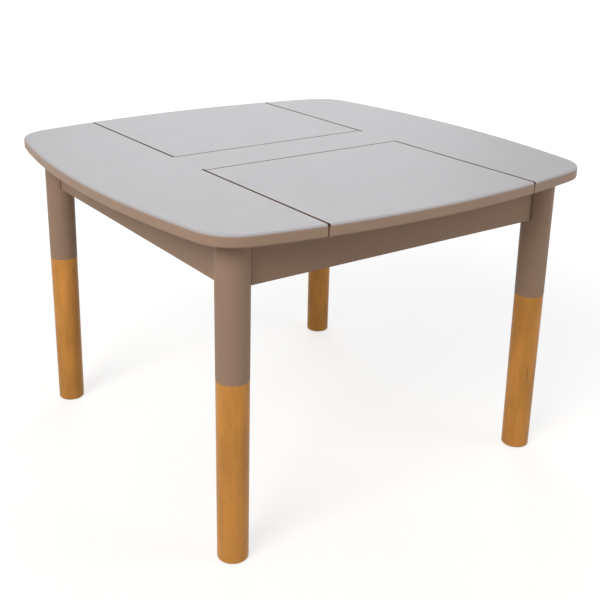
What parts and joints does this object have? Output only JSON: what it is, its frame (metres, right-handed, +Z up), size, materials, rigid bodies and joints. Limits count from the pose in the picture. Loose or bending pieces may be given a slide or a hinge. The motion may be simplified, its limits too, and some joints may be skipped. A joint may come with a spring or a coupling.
{
  "type": "kids table with storage",
  "caption": "Square low play table with bulged sides, round two-tone legs and a pair of flush flip-up lids over storage trays.",
  "frame": {"origin": "on the floor, at the centre of the table", "axes": "+X along the hinge seams, +Y from the front lid to the rear lid, +Z up"},
  "size_m": [0.7498, 0.75, 0.5],
  "materials": {
    "top_paint": "satin taupe paint",
    "frame_paint": "satin taupe paint",
    "leg_wood": "clear satin lacquer, upper part painted taupe",
    "tray_floor": "clear sealed plywood",
    "block_wood": "bare planed wood",
    "zinc": "zinc plated",
    "hinge_brass": "turned",
    "hinge_steel": "stamped",
    "felt": "pressed felt",
    "glide": "moulded"
  },
  "bodies": {
    "table": {"top_panel": "top_paint", "front_left_leg": "leg_wood", "front_right_leg": "leg_wood", "rear_left_leg": "leg_wood", "rear_right_leg": "leg_wood", "front_apron": "frame_paint", "rear_apron": "frame_paint", "left_apron": "frame_paint", "right_apron": "frame_paint", "left_inner_wall": "frame_paint", "right_inner_wall": "frame_paint", "front_centre_wall": "frame_paint", "rear_centre_wall": "frame_paint", "front_tray_floor": "tray_floor", "rear_tray_floor": "tray_floor", "front_left_block": "block_wood", "front_right_block": "block_wood", "rear_left_block": "block_wood", "rear_right_block": "block_wood", "leg_bolts": "zinc", "leg_washers": "zinc", "leg_nuts": "zinc", "apron_screws": "zinc", "top_screws": "zinc", "inner_wall_dowels": "block_wood", "centre_wall_dowels": "block_wood", "front_fixed_barrels": "hinge_brass", "rear_fixed_barrels": "hinge_brass", "front_lid_buffers": "felt", "rear_lid_buffers": "felt", "leg_glides": "glide"},
    "front_lid": {"front_lid": "top_paint", "front_lid_barrels": "hinge_brass"},
    "rear_lid": {"rear_lid": "top_paint", "rear_lid_barrels": "hinge_brass"},
    "front_links": {"front_hinge_links": "hinge_steel"},
    "rear_links": {"rear_hinge_links": "hinge_steel"}
  },
  "joints": [
    {"name": "front_lid_hinge", "type": "hinge", "parent": "table", "child": "front_lid", "pos_m": [0, -0.0485, 0.5], "axis": [-1, 0, 0], "range_deg": [0, 95]},
    {"name": "rear_lid_hinge", "type": "hinge", "parent": "table", "child": "rear_lid", "pos_m": [0, 0.0485, 0.5], "axis": [1, 0, 0], "range_deg": [0, 95]},
    {"name": "front_links_fold", "type": "hinge", "parent": "table", "child": "front_links", "pos_m": [0, -0.0485, 0.5], "axis": [-1, 0, 0], "range_deg": [0, 47.5]},
    {"name": "rear_links_fold", "type": "hinge", "parent": "table", "child": "rear_links", "pos_m": [0, 0.0485, 0.5], "axis": [1, 0, 0], "range_deg": [0, 47.5]}
  ],
  "couplings": [
    {"joint": "front_links_fold", "follows": "front_lid_hinge", "ratio": 0.5},
    {"joint": "rear_links_fold", "follows": "rear_lid_hinge", "ratio": 0.5}
  ]
}
